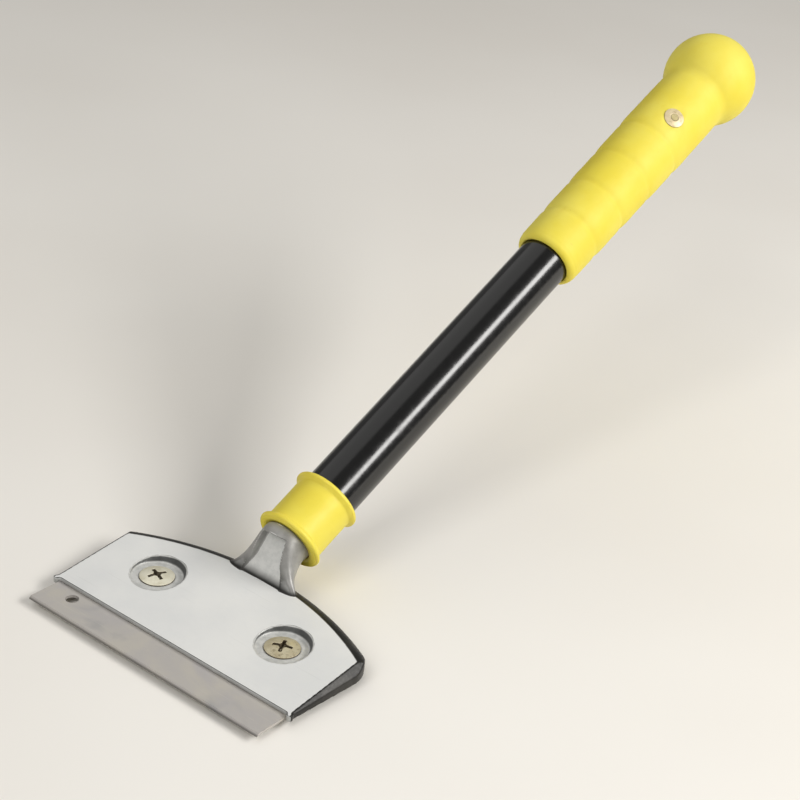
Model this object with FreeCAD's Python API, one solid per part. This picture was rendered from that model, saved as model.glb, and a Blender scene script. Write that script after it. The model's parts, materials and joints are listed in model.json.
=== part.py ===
import FreeCAD, Part
import math
import os

# Long-handled scraper with a clamped, replaceable blade. Millimetres.
# Row frame: +X along the blade, +Y from the cutting edge back to the ball end,
# +Z out of the head's top side. The handle rises from the blade's plane.
# Plate coordinates used below: y from the cutting edge, z from the blade's underside.

# ---- blade ----
BLADE_L = 100.0
BLADE_W = 25.0
BLADE_T = 1.0
BEVEL_W = 0.8
EDGE_T = 0.15
BLADE_HOLE_D = 4.5
BLADE_HOLE_X = 39.5
BLADE_HOLE_Y = 9.0

# ---- head casting ----
FRONT_Y = 13.1
FRONT_HALF = 51.9
SIDE_HALF = 53.5
SIDE_Y = 42.0
CORNER_MID = (51.3, 48.3)
REAR_HALF = 46.2
ARC_CENTRE_Y = -50.7
ARC_R = 113.2
TOP_R = 107.9
TOP_FRONT_Z = 2.3
TOP_SLOPE = 6.2
CAST_BOTTOM_Z = 0.12
REBATE_GAP = 0.15
LIP_R = 1.1
RIM_FRONT = 0.5
RIM_REAR = 2.4

# ---- screws and their pockets ----
SCREW_X = 27.8
SCREW_Y = 35.7
SCREW_D = 6.0
HEAD_R = 5.95
FLOOR_Z = 3.5
POCKET_R = 8.7
POCKET_TAPER = 0.45
HOLE_R = 3.2
RUN_GAP = 0.05
SEAT_GAP = 0.04
CROSS_W = 1.15
CROSS_L = 6.6
CROSS_ANGLE = {"left": -20.0, "right": 25.0}

# ---- clamp plate ----
CLAMP_T = 2.0
CLAMP_GAP = 0.02
CLAMP_FRONT_Y = 15.5
CLAMP_HALF = 46.0
CLAMP_SIDE = 47.5
CLAMP_ARC_R = 108.0

# ---- neck and handle axis ----
NECK_Y = 55.8
NECK_Z = 10.6
TILT = 25.7
NECK_R = 8.7
SHOULDER = 16.0
SPIGOT_R = 8.4
SPIGOT_END = 44.0

# ---- handle, measured along its axis from the neck point ----
TUBE_D = 19.3
TUBE_WALL = 1.2
TUBE_START = 16.1
TUBE_END = 261.5
COLLAR_START = 13.6
COLLAR_END = 34.7
COLLAR_R = 10.9
FLANGE_R = 12.4
FLANGE_T = 2.1
PIN_AT = 26.0
PIN_D = 3.0
PIN_L = 19.0
GRIP_START = 160.6
GRIP_R = ((160.6, 11.6), (162.0, 12.2), (166.0, 12.5), (186.0, 12.82), (203.0, 13.07),
          (219.5, 13.4), (236.0, 13.7), (250.0, 13.7), (257.0, 13.62))
GROOVES = (176.5, 193.0, 210.5, 227.5)
GROOVE_D = 0.35
BALL_AT = 272.2
BALL_R = 17.85
BALL_BLEND = 7.0
RIVET_AT = 237.2
RIVET_TURN = 35.0
RIVET_HEAD_R = 3.95
RIVET_SHANK_R = 2.4
MANDREL_R = 1.4

# ---- derived ----
COS_T = math.cos(math.radians(TILT))
SIN_T = math.sin(math.radians(TILT))
LENGTH_Y = NECK_Y + BALL_AT * COS_T + BALL_R
Z0 = CLAMP_T + CLAMP_GAP
SHIFT = FreeCAD.Vector(0, -LENGTH_Y / 2, Z0)
X_AXIS = FreeCAD.Vector(1, 0, 0)
Z_AXIS = FreeCAD.Vector(0, 0, 1)


def vec(x, y, z):
    return FreeCAD.Vector(x, y, z)


def moved(shape, offset):
    out = shape.copy()
    out.translate(offset)
    return out


def prism(edges, z_low, z_high):
    """Extrude a closed outline, drawn at z = 0, from z_low to z_high."""
    face = Part.Face(Part.Wire(Part.__sortEdges__(edges)))
    solid = face.extrude(vec(0, 0, z_high - z_low))
    return moved(solid, vec(0, 0, z_low))


def revolve(points, curve=None):
    """Revolve a closed (radius, height) outline about the Z axis."""
    pts = [vec(r, 0, h) for r, h in points]
    edges = [Part.LineSegment(a, b).toShape() for a, b in zip(pts, pts[1:])]
    if curve:
        edges.append(curve)
    else:
        edges.append(Part.LineSegment(pts[-1], pts[0]).toShape())
    face = Part.Face(Part.Wire(Part.__sortEdges__(edges)))
    return face.revolve(vec(0, 0, 0), Z_AXIS, 360)


def on_handle(shape):
    """Take a shape built along +Z from the neck point and lay it on the handle axis."""
    out = shape.copy()
    out.rotate(vec(0, 0, 0), X_AXIS, -(90.0 - TILT))
    out.translate(vec(0, NECK_Y, NECK_Z))
    return out


def arc_y(radius, x):
    """y of a circle about the head's arc centre."""
    return ARC_CENTRE_Y + math.sqrt(radius ** 2 - x ** 2)


def head_outline():
    """Plan of the casting: straight front, flared sides, rounded corners, arched rear."""
    rear_y = arc_y(ARC_R, REAR_HALF)
    front = [vec(-FRONT_HALF, FRONT_Y, 0), vec(FRONT_HALF, FRONT_Y, 0)]
    edges = [Part.LineSegment(front[0], front[1]).toShape()]
    for s in (-1, 1):
        side = vec(s * SIDE_HALF, SIDE_Y, 0)
        edges.append(Part.LineSegment(vec(s * FRONT_HALF, FRONT_Y, 0), side).toShape())
        mid = vec(s * CORNER_MID[0], CORNER_MID[1], 0)
        edges.append(Part.Arc(side, mid, vec(s * REAR_HALF, rear_y, 0)).toShape())
    apex = vec(0, ARC_CENTRE_Y + ARC_R, 0)
    edges.append(Part.Arc(vec(-REAR_HALF, rear_y, 0), apex, vec(REAR_HALF, rear_y, 0)).toShape())
    return edges


def sloped_disc():
    """Disc whose flat top is the head's ground face and whose rim rounds off the rear."""
    arc = Part.Arc(vec(TOP_R, 0, 0), vec(TOP_R + 3.7, 0, -1.3), vec(ARC_R + 0.4, 0, -4.4)).toShape()
    pts = [(ARC_R + 0.4, -4.4), (ARC_R + 0.4, -18.0), (0.0, -18.0), (0.0, 0.0), (TOP_R, 0.0)]
    disc = revolve(pts, arc)
    disc.rotate(vec(0, 0, 0), X_AXIS, TOP_SLOPE)
    rise = math.tan(math.radians(TOP_SLOPE)) * (ARC_CENTRE_Y - FRONT_Y)
    return moved(disc, vec(0, ARC_CENTRE_Y, TOP_FRONT_Z + rise))


def ellipse(centre, half_x, half_up, tilt):
    up = vec(0, -math.sin(math.radians(tilt)), math.cos(math.radians(tilt)))
    curve = Part.Ellipse(centre + X_AXIS * half_x, centre + up * half_up, centre)
    return Part.Wire([curve.toShape()])


def handle_point(along):
    return vec(0, NECK_Y + along * COS_T, NECK_Z + along * SIN_T)


def neck():
    """Flared root that leaves the plate and closes to a round neck, then the spigot."""
    sections = [
        ellipse(vec(0, 51.0, 2.9), 25.0, 2.8, 0.0),
        ellipse(vec(0, 56.2, 4.6), 17.0, 4.0, 8.0),
        ellipse(vec(0, 59.4, 8.8), 11.2, 7.6, 16.0),
        ellipse(handle_point(8.0), NECK_R + 0.1, NECK_R, TILT),
        ellipse(handle_point(SHOULDER), NECK_R + 0.02, NECK_R, TILT),
    ]
    root = Part.makeLoft(sections, True, False)
    seat = [(NECK_R, COLLAR_START - 0.3), (NECK_R + 6.0, COLLAR_START - 0.3), (NECK_R + 6.0, SHOULDER + 0.5),
            (NECK_R, SHOULDER + 0.5), (NECK_R, COLLAR_START - 0.3)]
    root = root.cut(on_handle(revolve(seat[:-1])))
    profile = [(0.0, 6.0), (NECK_R - 1.5, 6.0), (SPIGOT_R, SHOULDER - 1.0), (SPIGOT_R, SPIGOT_END - 1.0),
               (SPIGOT_R - 1.0, SPIGOT_END), (0.0, SPIGOT_END)]
    spigot = on_handle(revolve(profile))
    return root.fuse(spigot)


def neck_recess():
    """Tapered hollow in the neck's top, from the ground face up to just short of the collar."""
    low = vec(0, 55.3, 6.75)
    high = handle_point(11.2) + vec(0, -SIN_T, COS_T) * 5.3
    along = high - low
    length = along.Length
    along.normalize()
    normal = X_AXIS.cross(along)
    corners = [(-8.8, 0.0), (8.8, 0.0), (5.9, 0.45 * length), (4.8, length), (-4.8, length), (-5.9, 0.45 * length)]
    pts = [low + X_AXIS * x + along * u for x, u in corners]
    pts.append(pts[0])
    face = Part.Face(Part.makePolygon(pts))
    return face.extrude(normal * 14.0)


def screw_pocket(x):
    """Shallow tapered pocket, countersink and clearance hole for one clamp screw."""
    depth = 9.0
    pocket = Part.makeCone(POCKET_R, POCKET_R + POCKET_TAPER * depth, depth, vec(0, 0, FLOOR_Z))
    top = HEAD_R + RUN_GAP + SEAT_GAP
    drop = top - HOLE_R
    sink = Part.makeCone(HOLE_R, top, drop, vec(0, 0, FLOOR_Z - drop))
    hole = Part.makeCylinder(HOLE_R, FLOOR_Z + 1.0, vec(0, 0, -1.0))
    return moved(pocket.fuse([sink, hole]), vec(x, SCREW_Y, 0))


def pin_hole(radius):
    """Cross hole through the handle under the collar."""
    hole = Part.makeCylinder(radius, 40.0, vec(-20, 0, PIN_AT), X_AXIS)
    return on_handle(hole)


def side_rim(s):
    """Wedge taken off one long upper side edge, wider towards the rear, that leaves an unground rim."""
    rise = math.tan(math.radians(TOP_SLOPE))
    flare = (SIDE_HALF - FRONT_HALF) / (SIDE_Y - FRONT_Y)
    sections = []
    for y in (FRONT_Y - 2.0, SIDE_Y + 12.0):
        t = (y - FRONT_Y) / (SIDE_Y - FRONT_Y)
        edge = FRONT_HALF + flare * (y - FRONT_Y)
        width = RIM_FRONT + (RIM_REAR - RIM_FRONT) * t
        top = TOP_FRONT_Z + rise * (y - FRONT_Y)
        pts = [vec(s * (edge - width), y, top), vec(s * (edge + 0.3), y, top - 0.95 * width - 0.3),
               vec(s * (edge + 6.0), y, top - 0.95 * width - 0.3), vec(s * (edge + 6.0), y, top + 6.0),
               vec(s * (edge - width), y, top + 6.0)]
        sections.append(Part.makePolygon(pts + [pts[0]]))
    return Part.makeLoft(sections, True, True)


def head_casting():
    plate = prism(head_outline(), CAST_BOTTOM_Z, 16.0).common(sloped_disc())
    plate = plate.cut([side_rim(s) for s in (-1, 1)])
    body = plate.fuse(neck())
    for s in (-1, 1):
        foot = vec(s * (FRONT_HALF - 0.6), FRONT_Y, CAST_BOTTOM_Z)
        body = body.fuse(Part.makeCylinder(LIP_R, TOP_FRONT_Z - CAST_BOTTOM_Z, foot))
    half = BLADE_L / 2 + REBATE_GAP
    rebate = Part.makeBox(2 * half, BLADE_W + 10.2, BLADE_T + 2.02, vec(-half, -10, -2.0))
    floor = Part.makeBox(140, 120, 20, vec(-70, 0, CAST_BOTTOM_Z - 20))
    cuts = [rebate, floor, neck_recess(), pin_hole(PIN_D / 2 + 0.02)]
    cuts += [screw_pocket(s * SCREW_X) for s in (-1, 1)]
    return body.cut(cuts).removeSplitter()


def blade():
    """Reversible blade: both long edges bevelled, two holes on a diagonal."""
    section = [(0, 0), (BLADE_W, 0), (BLADE_W, EDGE_T), (BLADE_W - BEVEL_W, BLADE_T), (BEVEL_W, BLADE_T), (0, EDGE_T)]
    pts = [vec(-BLADE_L / 2, y, z) for y, z in section]
    pts.append(pts[0])
    body = Part.Face(Part.makePolygon(pts)).extrude(vec(BLADE_L, 0, 0))
    holes = [(-BLADE_HOLE_X, BLADE_HOLE_Y), (BLADE_HOLE_X, BLADE_W - BLADE_HOLE_Y)]
    cutters = [Part.makeCylinder(BLADE_HOLE_D / 2, 4, vec(x, y, -1)) for x, y in holes]
    return body.cut(cutters)


def clamp_plate():
    """Steel plate under the blade, tapped for the two screws, front edge bevelled below."""
    top = -CLAMP_GAP
    side_y = 43.0
    rear_x = 44.0
    rear_y = arc_y(CLAMP_ARC_R, rear_x)
    right = [vec(CLAMP_HALF, CLAMP_FRONT_Y, 0), vec(CLAMP_SIDE, side_y, 0), vec(rear_x, rear_y, 0)]
    left = [vec(-p.x, p.y, 0) for p in right]
    edges = [Part.LineSegment(left[0], right[0]).toShape()]
    for chain in (left, right):
        edges += [Part.LineSegment(a, b).toShape() for a, b in zip(chain, chain[1:])]
    apex = vec(0, ARC_CENTRE_Y + CLAMP_ARC_R, 0)
    edges.append(Part.Arc(left[2], apex, right[2]).toShape())
    body = prism(edges, top - CLAMP_T, top)
    corner = [(CLAMP_FRONT_Y - 1, top - CLAMP_T - 1), (CLAMP_FRONT_Y + 5, top - CLAMP_T - 1),
              (CLAMP_FRONT_Y + 4, top - CLAMP_T), (CLAMP_FRONT_Y, top - 1.2), (CLAMP_FRONT_Y - 1, top - 0.95)]
    pts = [vec(-60, y, z) for y, z in corner]
    pts.append(pts[0])
    bevel = Part.Face(Part.makePolygon(pts)).extrude(vec(120, 0, 0))
    radius = SCREW_D / 2 + RUN_GAP
    holes = [Part.makeCylinder(radius, 8, vec(s * SCREW_X, SCREW_Y, -6)) for s in (-1, 1)]
    return body.cut([bevel] + holes)


def clamp_screw(side):
    """Raised countersunk screw with a cross recess; its thread is a plain cylinder."""
    r = SCREW_D / 2
    end = -CLAMP_T + 0.2
    drop = HEAD_R - r
    rim = FLOOR_Z + 0.3
    dome = Part.Arc(vec(HEAD_R, 0, rim), vec(HEAD_R * 0.55, 0, rim + 0.62), vec(0, 0, rim + 0.9)).toShape()
    pts = [(0.0, rim + 0.9), (0.0, end), (r - 0.5, end), (r, end + 0.5), (r, FLOOR_Z - RUN_GAP - drop),
           (HEAD_R, FLOOR_Z - RUN_GAP), (HEAD_R, rim)]
    body = revolve(pts, dome)
    top = rim + 1.5
    depth = 3.0
    arms = []
    for turn in (0.0, 90.0):
        arm = Part.makeBox(CROSS_L, CROSS_W, depth, vec(-CROSS_L / 2, -CROSS_W / 2, top - depth))
        arm.rotate(vec(0, 0, 0), Z_AXIS, CROSS_ANGLE[side] + turn)
        arms.append(arm)
    arms.append(Part.makeCone(0.6, 1.5, depth + 0.6, vec(0, 0, top - depth - 0.6)))
    body = body.cut(arms)
    sign = -1 if side == "left" else 1
    return moved(body, vec(sign * SCREW_X, SCREW_Y, 0))


def handle_tube():
    outer = TUBE_D / 2
    inner = outer - TUBE_WALL
    profile = [(inner, TUBE_START), (outer, TUBE_START), (outer, TUBE_END), (inner, TUBE_END)]
    body = on_handle(revolve(profile))
    return body.cut([pin_hole(PIN_D / 2 + 0.02), rivet_cutter(RIVET_SHANK_R + 0.05)])


def tube_pin():
    """Cross pin that ties the tube to the spigot."""
    body = Part.makeCylinder(PIN_D / 2, PIN_L, vec(-PIN_L / 2, 0, PIN_AT), X_AXIS)
    return on_handle(body)


def collar():
    """Moulded ferrule over the joint of tube and casting, with a flange at each end."""
    bore = TUBE_D / 2 + RUN_GAP
    lip = NECK_R + 0.12
    flange_low = COLLAR_START + FLANGE_T
    flange_high = COLLAR_END - FLANGE_T
    e = 0.5
    profile = [(lip, COLLAR_START), (FLANGE_R - e, COLLAR_START), (FLANGE_R, COLLAR_START + e),
               (FLANGE_R, flange_low - e), (FLANGE_R - e, flange_low), (COLLAR_R + 0.15, flange_low + 0.2),
               (COLLAR_R, flange_low + 1.2), (COLLAR_R, flange_high - 1.2), (COLLAR_R + 0.15, flange_high - 0.2),
               (FLANGE_R - e, flange_high), (FLANGE_R, flange_high + e), (FLANGE_R, COLLAR_END - e),
               (FLANGE_R - e, COLLAR_END), (bore, COLLAR_END), (bore, TUBE_START), (lip, TUBE_START - 0.1)]
    return on_handle(revolve(profile))


def grip_radius(at):
    """Outer radius of the grip before the ball, with its shallow rings."""
    for (a, ra), (b, rb) in zip(GRIP_R, GRIP_R[1:]):
        if a <= at <= b:
            base = ra + (rb - ra) * (at - a) / (b - a)
    dip = sum(math.exp(-((at - g) / 1.1) ** 2) for g in GROOVES)
    return base - GROOVE_D * dip


def grip():
    """Moulded grip: ringed barrel that runs into a ball, blind bore for the tube."""
    last = GRIP_R[-1][0]
    count = 78
    first = GRIP_START + 1.4
    stations = [first + (last - first) * i / count for i in range(count + 1)]
    outer = [vec(grip_radius(m), 0, m) for m in stations]
    barrel = Part.BSplineCurve()
    barrel.interpolate(outer)
    blend_r = outer[-1].x + BALL_BLEND
    blend_m = BALL_AT - math.sqrt((BALL_R + BALL_BLEND) ** 2 - blend_r ** 2)
    meet = BALL_R / (BALL_R + BALL_BLEND)
    touch = vec(blend_r * meet, 0, BALL_AT - (BALL_AT - blend_m) * meet)
    start = vec(outer[-1].x, 0, blend_m)
    half = math.atan2(BALL_AT - blend_m, blend_r) / 2
    waist = vec(blend_r - BALL_BLEND * math.cos(half), 0, blend_m + BALL_BLEND * math.sin(half))
    blend = Part.Arc(start, waist, touch).toShape()
    pole = vec(0, 0, BALL_AT + BALL_R)
    ball = Part.Arc(touch, vec(BALL_R, 0, BALL_AT), pole).toShape()
    bore = TUBE_D / 2 + 0.03
    rest = [pole, vec(0, 0, TUBE_END + 0.5), vec(bore, 0, TUBE_END + 0.5),
            vec(bore, 0, GRIP_START), vec(outer[0].x - 0.6, 0, GRIP_START), outer[0]]
    edges = [barrel.toShape(), blend, ball]
    if blend_m - last > 0.01:
        edges.append(Part.LineSegment(outer[-1], start).toShape())
    edges += [Part.LineSegment(a, b).toShape() for a, b in zip(rest, rest[1:])]
    face = Part.Face(Part.Wire(Part.__sortEdges__(edges)))
    body = on_handle(face.revolve(vec(0, 0, 0), Z_AXIS, 360))
    spot = rivet_frame(Part.makeCylinder(RIVET_HEAD_R + 0.25, 6, vec(0, 0, 13.22)))
    return body.cut([spot, rivet_cutter(RIVET_SHANK_R + 0.05)])


def rivet_frame(shape):
    """Place a shape built along +Z (radially outward) at the rivet's station on the handle."""
    out = shape.copy()
    out.rotate(vec(0, 0, 0), X_AXIS, 90.0)
    out.rotate(vec(0, 0, 0), Z_AXIS, RIVET_TURN)
    out.translate(vec(0, 0, RIVET_AT))
    return on_handle(out)


def rivet_cutter(radius):
    return rivet_frame(Part.makeCylinder(radius, 20))


def grip_rivet():
    """Blind rivet body: domed head outside, upset bulb inside the tube."""
    seat = 13.25
    bulb = TUBE_D / 2 - TUBE_WALL - 0.3
    bore = MANDREL_R + 0.02
    arc = Part.Arc(vec(RIVET_HEAD_R, 0, seat + 0.35), vec(2.9, 0, seat + 0.95), vec(bore, 0, seat + 1.25)).toShape()
    pts = [(bore, seat + 1.25), (bore, 3.6), (2.6, 3.6), (3.3, 4.6), (3.3, bulb - 1.0),
           (RIVET_SHANK_R, bulb), (RIVET_SHANK_R, seat), (RIVET_HEAD_R, seat), (RIVET_HEAD_R, seat + 0.35)]
    return rivet_frame(revolve(pts, arc))


def rivet_mandrel():
    """Broken-off pin left in the rivet, a little below its head."""
    pts = [(0.0, 2.2), (1.9, 2.2), (1.9, 3.5), (MANDREL_R, 3.5), (MANDREL_R, 14.05), (0.0, 14.05)]
    return rivet_frame(revolve(pts))


def main():
    os.makedirs("parts", exist_ok=True)
    nodes = {
        "head_casting": head_casting(),
        "blade": blade(),
        "clamp_plate": clamp_plate(),
        "clamp_screw_left": clamp_screw("left"),
        "clamp_screw_right": clamp_screw("right"),
        "handle_tube": handle_tube(),
        "tube_pin": tube_pin(),
        "collar": collar(),
        "grip": grip(),
        "grip_rivet": grip_rivet(),
        "rivet_mandrel": rivet_mandrel(),
    }
    for name, shape in nodes.items():
        placed = moved(shape, SHIFT)
        solid = placed.Solids[0]
        print(name, "solids", len(placed.Solids), "valid", solid.isValid(), "volume", round(solid.Volume, 1))
        solid.exportStep("parts/" + name + ".step")


main()
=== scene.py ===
"""Looks of the long-handled scraper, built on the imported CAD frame. All lengths are in metres."""
import json
import math

import bmesh
import bpy
from mathutils import Matrix, Vector, noise


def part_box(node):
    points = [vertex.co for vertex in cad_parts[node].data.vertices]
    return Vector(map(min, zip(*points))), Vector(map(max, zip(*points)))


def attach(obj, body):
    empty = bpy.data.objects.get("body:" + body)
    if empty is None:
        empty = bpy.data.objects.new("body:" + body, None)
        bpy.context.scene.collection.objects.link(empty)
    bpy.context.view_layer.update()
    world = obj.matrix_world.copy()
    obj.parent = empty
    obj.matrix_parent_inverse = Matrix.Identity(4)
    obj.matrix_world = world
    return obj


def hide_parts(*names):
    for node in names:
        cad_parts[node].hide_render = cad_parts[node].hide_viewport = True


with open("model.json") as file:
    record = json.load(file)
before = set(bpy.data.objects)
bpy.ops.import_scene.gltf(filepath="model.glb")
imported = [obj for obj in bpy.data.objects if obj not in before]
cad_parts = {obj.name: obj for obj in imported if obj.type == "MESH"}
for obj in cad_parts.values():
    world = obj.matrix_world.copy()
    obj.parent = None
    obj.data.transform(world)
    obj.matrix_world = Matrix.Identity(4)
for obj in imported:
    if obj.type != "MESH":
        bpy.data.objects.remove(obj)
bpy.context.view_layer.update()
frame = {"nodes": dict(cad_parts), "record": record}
NODES = frame["nodes"]
RECORD = frame["record"]
MM = 0.001
UP = Vector((0, 0, 1))
FORWARD = Vector((0, -1, 0))        # out over the cutting edge
SIDE = Vector((1, 0, 0))

# ---------------------------------------------------------------- the frame's facts
CLIP = next(m for m in RECORD["mounts"] if m["name"] == "tube_clip")
AXIS = Vector(CLIP["axis"]).normalized()
CLIP_AT = 97.6                      # the clip mount's distance along the handle, mm
NECK = Vector(CLIP["pos_m"]) - AXIS * CLIP_AT * MM
UNDER = AXIS.cross(SIDE)
HANDLE = Matrix((SIDE, UNDER, AXIS)).transposed().to_4x4()
HANDLE.translation = NECK

BLADE_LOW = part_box("blade")[0]
CUTTING_Y = BLADE_LOW.y
BLADE_Z = BLADE_LOW.z
SCREW_AT = [Vector(j["pos_m"]) for j in RECORD["behaviour"]["joints"]
            if j["name"].startswith("screw_")]

# ground top face of the casting: a plane 2.3 mm above the blade at its front, rising 6.2 degrees
TOP_SLOPE = math.radians(6.2)
TOP_NORMAL = Vector((0, -math.sin(TOP_SLOPE), math.cos(TOP_SLOPE)))
TOP_POINT = Vector((0, CUTTING_Y + 13.1 * MM, BLADE_Z + 2.3 * MM))
RECESS_NORMAL = Vector((0, -0.852, 0.524))
POCKET_R = (9.8 * MM, 10.2 * MM)    # the pockets' finish fades out between these radii

# handle sizes, mm, as in the CAD
TUBE_R, TUBE_WALL, TUBE_EDGE = 9.65, 1.2, 0.25
TUBE_ENDS = (16.1, 261.5)
COLLAR_ENDS = (13.6, 34.7)
COLLAR_FLANGE_R, COLLAR_BARREL_R, COLLAR_ROUND = 12.4, 10.9, 0.95
COLLAR_BORE_R, COLLAR_SEAT_R, COLLAR_STEP = 9.7, 8.85, 2.3
GRIP_START, GRIP_BARREL_END = 160.6, 257.0
GRIP_STATIONS = ((160.6, 12.35), (166.0, 12.5), (186.0, 12.82), (203.0, 13.07), (219.5, 13.4),
                 (236.0, 13.7), (250.0, 13.7), (257.0, 13.62))
GROOVES = (176.5, 193.0, 210.5, 227.5)
BALL_AT, BALL_R, BALL_BLEND = 272.2, 17.85, 7.0
RIVET_AT, RIVET_SEAT, RIVET_HEAD_R = 237.2, 13.25, 3.95
RIVET_SHANK_R, RIVET_BORE_R = 2.35, 1.45
RIVET_TURN = math.radians(35.0)
RIVET_OUT = (SIDE * math.sin(RIVET_TURN) - UNDER * math.cos(RIVET_TURN)).normalized()


def srgb(r, g, b):
    """8-bit display colour to linear RGBA."""
    out = []
    for c in (r, g, b):
        c /= 255.0
        out.append(c / 12.92 if c <= 0.04045 else ((c + 0.055) / 1.055) ** 2.4)
    return (*out, 1.0)


# ---------------------------------------------------------------- node helper
class Graph:
    """A material's node tree, with short calls for the nodes used here."""

    def __init__(self, name):
        self.mat = bpy.data.materials.new(name)
        self.mat.use_nodes = True
        self.tree = self.mat.node_tree
        self.tree.nodes.clear()
        self.out = self.add("ShaderNodeOutputMaterial")
        self.shader = self.add("ShaderNodeBsdfPrincipled")
        self.link(self.shader.outputs[0], self.out.inputs[0])
        self.coords = self.add("ShaderNodeTexCoord").outputs["Object"]

    def add(self, kind, **props):
        node = self.tree.nodes.new(kind)
        for k, v in props.items():
            setattr(node, k, v)
        return node

    def link(self, a, b):
        self.tree.links.new(a, b)

    def put(self, socket, value):
        if isinstance(value, bpy.types.NodeSocket):
            self.link(value, socket)
        else:
            socket.default_value = value

    def scaled(self, scale, rotate=(0, 0, 0)):
        m = self.add("ShaderNodeMapping")
        self.link(self.coords, m.inputs["Vector"])
        m.inputs["Scale"].default_value = scale
        m.inputs["Rotation"].default_value = rotate
        return m.outputs[0]

    def noise(self, scale, detail, rough, vector=None, distort=0.0):
        n = self.add("ShaderNodeTexNoise")
        self.link(vector or self.coords, n.inputs["Vector"])
        n.inputs["Scale"].default_value = scale
        n.inputs["Detail"].default_value = detail
        n.inputs["Roughness"].default_value = rough
        n.inputs["Distortion"].default_value = distort
        return n.outputs["Fac"]

    def math(self, op, a, b):
        n = self.add("ShaderNodeMath", operation=op)
        self.put(n.inputs[0], a)
        self.put(n.inputs[1], b)
        return n.outputs[0]

    def span(self, value, low, high, to_low=0.0, to_high=1.0):
        n = self.add("ShaderNodeMapRange", interpolation_type="SMOOTHSTEP")
        self.put(n.inputs["Value"], value)
        n.inputs["From Min"].default_value = low
        n.inputs["From Max"].default_value = high
        n.inputs["To Min"].default_value = to_low
        n.inputs["To Max"].default_value = to_high
        return n.outputs["Result"]

    def mix(self, fac, a, b):
        n = self.add("ShaderNodeMix", data_type="RGBA")
        self.put(n.inputs[0], fac)
        self.put(n.inputs[6], a)
        self.put(n.inputs[7], b)
        return n.outputs[2]

    def tint(self, share, amount, under, over):
        """Lays a colour over another by a share of a mask."""
        return self.mix(self.math("MULTIPLY", share, amount), under, over)

    def blend(self, field, low, high, a, b):
        """Goes from one colour to another as a field rises."""
        return self.mix(self.span(field, low, high), a, b)

    def dot(self, vector, direction):
        n = self.add("ShaderNodeVectorMath", operation="DOT_PRODUCT")
        self.link(vector, n.inputs[0])
        n.inputs[1].default_value = direction
        return n.outputs["Value"]

    def facing(self, direction):
        return self.dot(self.add("ShaderNodeNewGeometry").outputs["Normal"], direction)

    def axis(self, index):
        n = self.add("ShaderNodeSeparateXYZ")
        self.link(self.coords, n.inputs[0])
        return n.outputs[index]

    def distance_in_plan(self, spot):
        flat = self.add("ShaderNodeVectorMath", operation="MULTIPLY")
        self.link(self.coords, flat.inputs[0])
        flat.inputs[1].default_value = (1, 1, 0)
        apart = self.add("ShaderNodeVectorMath", operation="DISTANCE")
        self.link(flat.outputs[0], apart.inputs[0])
        apart.inputs[1].default_value = (spot.x, spot.y, 0)
        return apart.outputs["Value"]

    def bump(self, height, strength, distance, chain=None):
        n = self.add("ShaderNodeBump")
        n.inputs["Strength"].default_value = strength
        n.inputs["Distance"].default_value = distance
        self.link(height, n.inputs["Height"])
        if chain:
            self.link(chain, n.inputs["Normal"])
        return n.outputs["Normal"]

    def finish(self, color, rough, metal, normal, **uniform):
        s = self.shader.inputs
        self.put(s["Base Color"], color)
        self.put(s["Roughness"], rough)
        self.put(s["Metallic"], metal)
        self.put(s["Normal"], normal)
        for key, value in uniform.items():
            s[key.replace("_", " ")].default_value = value
        return self.mat


# ---------------------------------------------------------------- materials
def scratches(g, count, thin, angle, seed):
    """Fine straight scratches: stretched noise kept only near its crests."""
    stretch, crest = 0.03, 0.66
    vector = g.scaled((count * stretch, count, count), (0, 0, angle))
    field = g.noise(1.0, 2.0, 0.5, vector, 0.15 + seed * 0.01)
    return g.span(field, crest, crest + thin)


def cast_masks(g):
    """Where the casting is ground, in a pocket, on the neck, in its recess, or on the front lip."""
    height = g.math("SUBTRACT", g.dot(g.coords, TOP_NORMAL), TOP_POINT.dot(TOP_NORMAL))
    y = g.axis(1)
    ground = g.math("MULTIPLY", g.span(height, -0.30 * MM, -0.12 * MM),
                    g.span(g.facing(TOP_NORMAL), 0.986, 0.996))
    left, right = (g.span(g.distance_in_plan(spot), *POCKET_R, 1.0, 0.0) for spot in SCREW_AT)
    pocket = g.math("MAXIMUM", left, right)
    neck = g.math("MULTIPLY", g.span(y, CUTTING_Y + 55.2 * MM, CUTTING_Y + 57.5 * MM),
                  g.span(height, 0.0, 1.0 * MM))
    hollow = g.span(g.facing(RECESS_NORMAL), 0.965, 0.992)
    lip = g.math("MULTIPLY", g.span(g.facing(FORWARD), 0.35, 0.6),
                 g.span(height, -2.6 * MM, -2.0 * MM))
    lip = g.math("MULTIPLY", lip, g.span(y, CUTTING_Y + 14.2 * MM, CUTTING_Y + 15.0 * MM, 1.0, 0.0))
    return ground, pocket, neck, hollow, lip


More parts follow.
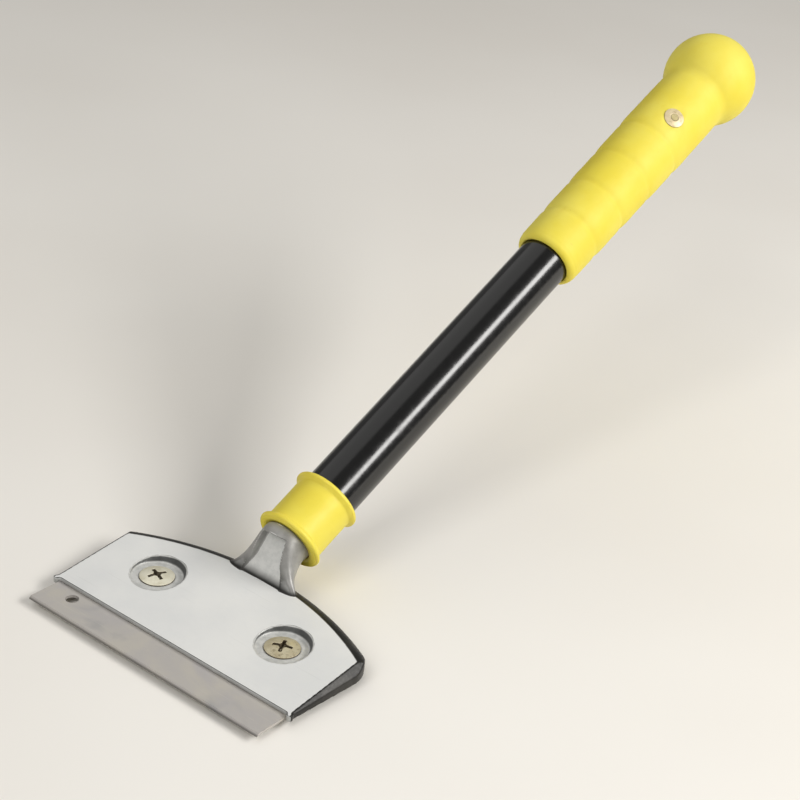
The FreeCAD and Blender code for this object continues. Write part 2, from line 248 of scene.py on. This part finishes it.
def cast_material():
    """Ground top face; the unground casting dark on the rim and sides, partly its own tone and
    partly painted shade; pocket walls in painted shade, pocket floors and recess paler, and the
    lip's front face lightened as painted light.
    """
    g = Graph("cast_head")
    ground, pocket, neck, hollow, lip = cast_masks(g)
    blotch = g.noise(70.0, 5.0, 0.62)
    coarse = g.noise(420.0, 4.0, 0.65)
    grain = g.noise(1100.0, 4.0, 0.6)

    # as-cast surface colour, darkened beyond its own tone as painted shade on the rim and side walls
    skin_and_shade = g.blend(blotch, 0.35, 0.7, srgb(30, 29, 27), srgb(52, 50, 47))
    pocket_floor = g.blend(coarse, 0.3, 0.7, srgb(190, 191, 188), srgb(214, 214, 211))
    # pocket walls: painted shade, dark beside the pale pocket floors
    pocket_wall_shade = g.blend(blotch, 0.3, 0.7, srgb(70, 71, 71), srgb(104, 105, 104))
    # lip's forward face: painted light, pale so the shaded face under the front edge reads light
    lip_painted_light = g.blend(blotch, 0.3, 0.7, srgb(168, 169, 167), srgb(188, 189, 187))
    neck_skin = g.blend(blotch, 0.3, 0.7, srgb(128, 127, 124), srgb(168, 167, 164))
    recess_floor = g.blend(coarse, 0.3, 0.7, srgb(212, 213, 210), srgb(228, 228, 225))
    # faces turned from up take the walls' painted shade, faces turned up the pale floor colour
    cast = g.mix(pocket, skin_and_shade, g.blend(g.facing(UP), 0.45, 0.9, pocket_wall_shade, pocket_floor))
    cast = g.mix(neck, cast, g.mix(hollow, neck_skin, recess_floor))
    cast = g.mix(lip, cast, lip_painted_light)

    top = g.blend(g.noise(28.0, 4.0, 0.6), 0.3, 0.75, srgb(222, 223, 222), srgb(232, 232, 229))
    top = g.tint(scratches(g, 1500.0, 0.1, 0.05, 1), 0.10, top, srgb(160, 160, 158))
    color = g.mix(ground, cast, top)

    rough = g.math("ADD", g.math("MULTIPLY", ground, 0.10), g.span(grain, 0.2, 0.8, 0.36, 0.5))
    metallic = g.math("ADD", g.math("MULTIPLY", ground, -0.12), 0.3)
    recess = g.math("MULTIPLY", neck, hollow)
    metallic = g.math("SUBTRACT", metallic, g.math("MULTIPLY", recess, 0.2))
    fine = g.bump(grain, 0.2, 0.06 * MM, g.bump(coarse, 0.35, 0.22 * MM))
    return g.finish(color, rough, metallic, fine)


def blade_material():
    """Ground steel: faint stains, a bluish haze, crossing scratches and a dark cutting edge."""
    g = Graph("blade_steel")
    patches = g.noise(38.0, 4.0, 0.6, None, 1.2)
    color = g.blend(patches, 0.38, 0.66, srgb(188, 184, 181), srgb(196, 191, 182))
    haze = g.noise(55.0, 3.0, 0.5, None, 0.6)
    color = g.mix(g.span(haze, 0.55, 0.75, 0.0, 0.55), color, srgb(150, 152, 156))
    across = scratches(g, 2600.0, 0.08, math.radians(95), 3)
    along = scratches(g, 1800.0, 0.06, math.radians(8), 5)
    marks = g.math("MAXIMUM", across, along)
    color = g.tint(marks, 0.35, color, srgb(206, 202, 196))
    edge = g.span(g.axis(1), CUTTING_Y + 0.1 * MM, CUTTING_Y + 0.6 * MM, 1.0, 0.0)
    color = g.tint(edge, 0.7, color, srgb(70, 66, 60))
    rough = g.span(patches, 0.3, 0.7, 0.38, 0.52)
    grind = g.noise(1.0, 3.0, 0.6, g.scaled((4000.0, 120.0, 120.0)))
    normal = g.bump(grind, 0.18, 0.05 * MM, g.bump(marks, 0.25, 0.04 * MM))
    return g.finish(color, rough, 0.35, normal)


def zinc_material(name, light, dark, dirt, dirt_share, outward=UP, metal=0.4):
    """Plated fastener with brown dirt in noise patches; faces turned from its outward direction are
    darkened brown as painted shade.
    """
    g = Graph(name)
    tone = g.noise(260.0, 4.0, 0.6)
    color = g.blend(tone, 0.35, 0.7, light, dark)
    grime = g.span(g.noise(520.0, 5.0, 0.7, None, 0.8), 0.62 - dirt_share, 0.8 - dirt_share)
    color = g.tint(grime, 0.6, color, dirt)
    # painted shade: faces turned from the outward direction darken towards brown
    color = g.mix(g.span(g.facing(outward), 0.4, 0.8, 0.85, 0.0), color, srgb(74, 58, 40))
    rough = g.span(tone, 0.2, 0.8, 0.34, 0.52)
    return g.finish(color, rough, metal, g.bump(grime, 0.3, 0.06 * MM))


def tube_material():
    """Gloss black coat with a slight orange peel and a trace of dust."""
    g = Graph("tube_black")
    peel = g.noise(380.0, 3.0, 0.5)
    dust = g.span(g.noise(95.0, 6.0, 0.7), 0.55, 0.8)
    color = g.tint(dust, 0.12, srgb(7, 7, 7), srgb(38, 36, 33))
    rough = g.math("ADD", g.span(peel, 0.2, 0.8, 0.17, 0.22), g.math("MULTIPLY", dust, 0.08))
    return g.finish(color, rough, 0.0, g.bump(peel, 0.06, 0.1 * MM), Specular_IOR_Level=0.75)


def yellow_material(name, base, deep, pale, rough_low, rough_high, grain_scale):
    """Moulded yellow plastic with soft blotches, stains and small specks."""
    g = Graph(name)
    color = g.blend(g.noise(32.0, 4.0, 0.6), 0.3, 0.72, base, pale)
    stain = g.span(g.noise(70.0, 6.0, 0.7, None, 0.5), 0.58, 0.78)
    color = g.tint(stain, 0.35, color, deep)
    specks = g.span(g.noise(900.0, 3.0, 0.6), 0.7, 0.76)
    color = g.tint(specks, 0.25, color, srgb(170, 140, 60))
    grain = g.noise(grain_scale, 4.0, 0.6)
    rough = g.span(grain, 0.2, 0.8, rough_low, rough_high)
    uneven = g.bump(g.noise(120.0, 3.0, 0.5), 0.15, 0.3 * MM)
    normal = g.bump(grain, 0.22, 0.06 * MM, uneven)
    return g.finish(color, rough, 0.0, normal, Subsurface_Weight=0.10, Subsurface_Scale=0.002,
                    Subsurface_Radius=(1.0, 0.8, 0.25), Specular_IOR_Level=0.35)


def plate_material():
    """Plain rolled steel for the hidden plate and pin."""
    g = Graph("plate_steel")
    tone = g.noise(80.0, 5.0, 0.6)
    color = g.blend(tone, 0.3, 0.7, srgb(150, 150, 148), srgb(176, 175, 170))
    color = g.tint(scratches(g, 1600.0, 0.08, 0.3, 7), 0.4, color, srgb(205, 203, 198))
    return g.finish(color, g.span(tone, 0.2, 0.8, 0.35, 0.5), 0.8, g.bump(tone, 0.15, 0.1 * MM))


MATERIALS = {
    "cast_head": cast_material(),
    "blade_steel": blade_material(),
    "plate_steel": plate_material(),
    "screw_bright": zinc_material("screw_bright", srgb(238, 234, 214), srgb(214, 208, 184),
                                  srgb(120, 104, 70), 0.0),
    "screw_dull": zinc_material("screw_dull", srgb(206, 197, 168), srgb(186, 174, 142),
                                srgb(104, 90, 64), 0.12),
    "tube_black": tube_material(),
    "collar_yellow": yellow_material("collar_yellow", srgb(228, 208, 66), srgb(206, 178, 40),
                                     srgb(234, 218, 84), 0.4, 0.52, 700.0),
    "grip_yellow": yellow_material("grip_yellow", srgb(226, 208, 66), srgb(214, 188, 38),
                                   srgb(231, 217, 92), 0.5, 0.62, 1100.0),
    "rivet_metal": zinc_material("rivet_metal", srgb(226, 210, 172), srgb(206, 188, 148),
                                 srgb(150, 126, 84), 0.12, RIVET_OUT, 0.2),
    "rivet_pin": zinc_material("rivet_pin", srgb(206, 192, 140), srgb(180, 166, 118),
                               srgb(110, 92, 58), 0.1, RIVET_OUT, 0.2),
}


# ---------------------------------------------------------------- mesh pieces
def new_object(name, bm):
    mesh = bpy.data.meshes.new(name)
    bm.to_mesh(mesh)
    bm.free()
    obj = bpy.data.objects.new(name, mesh)
    bpy.context.scene.collection.objects.link(obj)
    return obj


def lathe(name, profile, segments, closed=False):
    """Surface of revolution on the handle's axis from (along, radius) points in mm."""
    bm = bmesh.new()
    rings = []
    for along, radius in profile:
        if radius < 1e-6:
            rings.append([bm.verts.new((0, 0, along * MM))])
            continue
        ring = []
        for i in range(segments):
            a = 2 * math.pi * i / segments
            ring.append(bm.verts.new((radius * MM * math.cos(a), radius * MM * math.sin(a),
                                      along * MM)))
        rings.append(ring)
    pairs = list(zip(rings, rings[1:]))
    if closed:
        pairs.append((rings[-1], rings[0]))
    for low, high in pairs:
        for i in range(segments):
            j = (i + 1) % segments
            corners = [low[i % len(low)], low[j % len(low)],
                       high[j % len(high)], high[i % len(high)]]
            unique = list(dict.fromkeys(corners))
            if len(unique) > 2:
                bm.faces.new(unique)
    bmesh.ops.recalc_face_normals(bm, faces=bm.faces)
    obj = new_object(name, bm)
    for face in obj.data.polygons:
        face.use_smooth = True
    return obj


def arc(centre, radius, start, end, steps):
    """Points of a circular arc in the (along, radius) plane, angles in degrees from the axis."""
    out = []
    for i in range(steps + 1):
        a = math.radians(start + (end - start) * i / steps)
        out.append((centre[0] + radius * math.cos(a), centre[1] + radius * math.sin(a)))
    return out


def to_handle(obj):
    """Takes a piece from the handle's own axes to its place in the frame."""
    obj.data.transform(HANDLE)
    obj.data.update()
    return obj


def tube_piece():
    """Round tube, open at both ends, with its outer edges broken."""
    low, high = TUBE_ENDS
    inner, edge, steps = TUBE_R - TUBE_WALL, TUBE_EDGE, 24
    profile = [(low, inner), (low, TUBE_R - edge), (low + edge, TUBE_R)]
    profile += [(low + 0.5 + (high - low - 1.0) * i / steps, TUBE_R) for i in range(steps + 1)]
    profile += [(high - edge, TUBE_R), (high, TUBE_R - edge), (high, inner)]
    return to_handle(lathe("tube_shell", profile, 128, closed=True))


def collar_piece():
    """Ferrule: rounded flanges blending into a slightly waisted barrel."""
    low, high = COLLAR_ENDS
    flange, barrel, round_r = COLLAR_FLANGE_R, COLLAR_BARREL_R, COLLAR_ROUND
    blend_in, blend_r, waist, steps = 2.95, 1.1, 0.08, 12
    step = low + COLLAR_STEP
    profile = [(step, COLLAR_BORE_R), (step, COLLAR_SEAT_R), (low, COLLAR_SEAT_R),
               (low, flange - round_r)]
    profile += arc((low + round_r, flange - round_r), round_r, 180, 55, 8)
    profile += arc((low + blend_in, barrel + 1.05), blend_r, 235, 270, 4)
    middle = (low + high) / 2
    for i in range(1, steps):
        at = low + 3.2 + (high - low - 6.4) * i / steps
        profile.append((at, barrel - waist * math.cos((at - middle) / (high - low) * math.pi)))
    profile += arc((high - blend_in, barrel + 1.05), blend_r, 270, 305, 4)
    profile += arc((high - round_r, flange - round_r), round_r, 125, 0, 8)
    profile += [(high, COLLAR_BORE_R)]
    return to_handle(lathe("collar_moulded", profile, 120, closed=True))


def grip_base(at):
    for (a, ra), (b, rb) in zip(GRIP_STATIONS, GRIP_STATIONS[1:]):
        if at <= b:
            return ra + (rb - ra) * max(0.0, at - a) / (b - a)
    return GRIP_STATIONS[-1][1]


def grip_radius(at):
    """Barrel with shallow rings; behind each ring the surface swells a little."""
    groove_depth, groove_width = 0.38, 1.3
    swell, swell_at, swell_width = 0.12, 5.0, 3.2
    r = grip_base(at)
    for groove in GROOVES:
        d = at - groove
        r -= groove_depth * math.exp(-(d / groove_width) ** 2)
        r += swell * math.exp(-((d - swell_at) / swell_width) ** 2)
    return r


def grip_piece():
    """Moulded grip: rolled front lip, ringed barrel, and a ball on a concave blend."""
    low = GRIP_START
    lip_foot, lip_m, pitch = TUBE_R + 0.6, 2.6, 0.45
    lip_r = 12.3 - TUBE_R - 0.6
    profile = [(low + 3.0, TUBE_R + 0.05), (low + 0.5, TUBE_R + 0.05), (low + 0.1, TUBE_R + 0.35)]
    for i in range(11):
        a = math.radians(90.0 * i / 10)
        profile.append((low + lip_m * (1 - math.cos(a)), lip_foot + lip_r * math.sin(a)))
    at = low + lip_m + 0.5
    while at < GRIP_BARREL_END:
        profile.append((at, grip_radius(at)))
        at += pitch
    blend_r = grip_radius(GRIP_BARREL_END) + BALL_BLEND
    blend_m = BALL_AT - math.sqrt((BALL_R + BALL_BLEND) ** 2 - blend_r ** 2)
    lean = math.degrees(math.atan2(BALL_AT - blend_m, blend_r))
    profile += arc((blend_m, blend_r), BALL_BLEND, 270.0, 270.0 + lean, 10)
    profile += arc((BALL_AT, 0.0), BALL_R, 90.0 + lean, 0.0, 64)[1:-1]
    profile.append((BALL_AT + BALL_R, 0.0))
    obj = lathe("grip_moulded", profile, 144)
    soften(obj)
    spot_face(obj)
    return to_handle(obj)


def soften(obj):
    """Slight unevenness of a moulding, always inwards."""
    broad_depth, fine_depth = 0.10, 0.04
    for v in obj.data.vertices:
        radial = Vector((v.co.x, v.co.y, 0))
        if radial.length < (TUBE_R + 1.0) * MM:
            continue
        n = noise.noise(v.co * 45.0) * 0.5 + 0.5
        fine = noise.noise(v.co * 160.0 + Vector((3, 1, 7))) * 0.5 + 0.5
        v.co -= radial.normalized() * (broad_depth * n + fine_depth * fine) * MM


def rivet_direction():
    """The rivet's outward direction in the handle's own axes."""
    return Vector((math.sin(RIVET_TURN), -math.cos(RIVET_TURN), 0))


def spot_face(obj):
    """Press the grip's surface in round the rivet's head."""
    flat_r, fade_r, slope = 4.2, 7.0, 0.12
    out = rivet_direction()
    for v in obj.data.vertices:
        rel = v.co - Vector((0, 0, RIVET_AT * MM))
        high = rel.dot(out)
        if high < 8.0 * MM:
            continue
        off = (rel - out * high).length / MM
        seat = RIVET_SEAT + slope * max(0.0, off - 3.9)
        if off < fade_r and high / MM > seat:
            share = 1.0 if off < flat_r else max(0.0, (fade_r - off) / (fade_r - flat_r))
            v.co -= out * (high - seat * MM) * share


def rivet_piece():
    """Low-domed blind-rivet head with a crisp rim and a dished centre."""
    seat, head, shank, bore = RIVET_SEAT, RIVET_HEAD_R, RIVET_SHANK_R, RIVET_BORE_R
    dome, dome_r = 0.65, 3.85
    profile = [(seat - 6.0, bore), (seat - 6.0, shank), (seat, shank), (seat, dome_r),
               (seat + 0.12, head), (seat + 0.3, 3.9)]
    profile += [(seat + 0.3 + dome * (1 - (r / dome_r) ** 2), r)
                for r in (3.8, 3.4, 3.0, 2.6, 2.2, 1.9)]
    profile += [(seat + 0.82, 1.7), (seat + 0.76, 1.55), (seat + 0.6, bore)]
    obj = lathe("rivet_head", profile, 72, closed=True)
    out, along = rivet_direction(), UP
    place = Matrix((along.cross(out), along, out)).transposed().to_4x4()
    place.translation = Vector((0, 0, RIVET_AT * MM))
    obj.data.transform(place)
    return to_handle(obj)


# ---------------------------------------------------------------- pieces on their bodies
def wear(obj, slot):
    obj.data.materials.clear()
    obj.data.materials.append(MATERIALS[slot])


def soft_edges(node, voxel, passes):
    """Rounds a CAD node's edges: fine remesh, then smoothing."""
    obj = NODES[node]
    remesh = obj.modifiers.new("fine", "REMESH")
    remesh.mode = "VOXEL"
    remesh.voxel_size = voxel * MM
    remesh.use_smooth_shade = True
    smooth = obj.modifiers.new("soft", "SMOOTH")
    smooth.factor = 0.5
    smooth.iterations = passes


for piece, slot, node in ((tube_piece(), "tube_black", "handle_tube"),
                          (collar_piece(), "collar_yellow", "collar"),
                          (grip_piece(), "grip_yellow", "grip"),
                          (rivet_piece(), "rivet_metal", "grip_rivet")):
    wear(piece, slot)
    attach(piece, "head_and_handle")
    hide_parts(node)

for node, slot in (("head_casting", "cast_head"), ("blade", "blade_steel"),
                   ("clamp_plate", "plate_steel"), ("clamp_screw_left", "screw_bright"),
                   ("clamp_screw_right", "screw_dull"), ("tube_pin", "plate_steel"),
                   ("rivet_mandrel", "rivet_pin")):
    wear(NODES[node], slot)

soft_edges("head_casting", 0.28, 7)
soft_edges("clamp_screw_left", 0.12, 3)
soft_edges("clamp_screw_right", 0.12, 3)


# ---------------------------------------------------------------- floor, lights, camera
def stage_floor():
    """Plain pale floor, a hair below the part so that the two don't coincide."""
    bm = bmesh.new()
    bmesh.ops.create_grid(bm, x_segments=2, y_segments=2, size=4.0)
    obj = new_object("floor", bm)
    obj.location.z = -0.2 * MM
    g = Graph("floor_pale")
    color = g.blend(g.noise(3.0, 3.0, 0.5), 0.3, 0.7, srgb(232, 228, 221), srgb(238, 235, 229))
    grit = g.bump(g.noise(160.0, 4.0, 0.6), 0.08, 0.4 * MM)
    obj.data.materials.append(g.finish(color, 0.9, 0.0, grit, Specular_IOR_Level=0.2))


def soft_light(name, direction, distance, size, power, color, along):
    """Rectangular lamp that faces the handle's middle, its second side running with along."""
    lamp = bpy.data.lights.new(name, "AREA")
    lamp.shape = "RECTANGLE"
    lamp.size, lamp.size_y = size
    lamp.energy = power
    lamp.color = color
    obj = bpy.data.objects.new(name, lamp)
    bpy.context.scene.collection.objects.link(obj)
    d = Vector(direction).normalized()
    obj.location = NECK + AXIS * 0.14 + d * distance
    across = along.cross(d).normalized()
    turn = Matrix((across, d.cross(across), d)).transposed()
    obj.rotation_mode = "QUATERNION"
    obj.rotation_quaternion = turn.to_quaternion()


def studio():
    """Soft surroundings, a long strip for the tube's bright stripe, and two broad fills."""
    world = bpy.data.worlds.new("studio")
    world.use_nodes = True
    back = world.node_tree.nodes["Background"]
    back.inputs[0].default_value = (1.0, 0.985, 0.96, 1.0)
    back.inputs[1].default_value = 0.20
    bpy.context.scene.world = world
    warm, neutral = (1.0, 0.985, 0.96), (1.0, 0.99, 0.97)
    soft_light("strip", (0.81, 0.25, 0.55), 1.05, (0.28, 0.95), 10.6, warm, AXIS)
    soft_light("overhead", (-0.46, 0.07, 0.88), 1.8, (2.2, 2.2), 7.5, neutral, AXIS)
    soft_light("front", (0.1, -0.95, 0.75), 1.5, (1.1, 0.7), 8.0, neutral, SIDE)


def photo_camera():
    """Long lens, low and to the right of the blade, turned back towards the ball end."""
    data = bpy.data.cameras.new("camera")
    data.sensor_width = 36.0
    data.lens = 90.0
    data.clip_start, data.clip_end = 0.01, 20.0
    obj = bpy.data.objects.new("camera", data)
    bpy.context.scene.collection.objects.link(obj)
    heading, pitch, roll = math.radians(36.17), math.radians(27.72), math.radians(6.2)
    look = Vector((-math.sin(heading) * math.cos(pitch), math.cos(heading) * math.cos(pitch),
                   -math.sin(pitch)))
    right = look.cross(UP).normalized()
    right = right * math.cos(roll) + right.cross(look) * math.sin(roll)
    turn = Matrix((right, right.cross(look), -look)).transposed().to_4x4()
    turn.translation = Vector((0.3574, -0.52645, 0.3708))
    obj.matrix_world = turn
    bpy.context.scene.camera = obj


stage_floor()
studio()
photo_camera()
bpy.context.scene.view_settings.view_transform = "Standard"
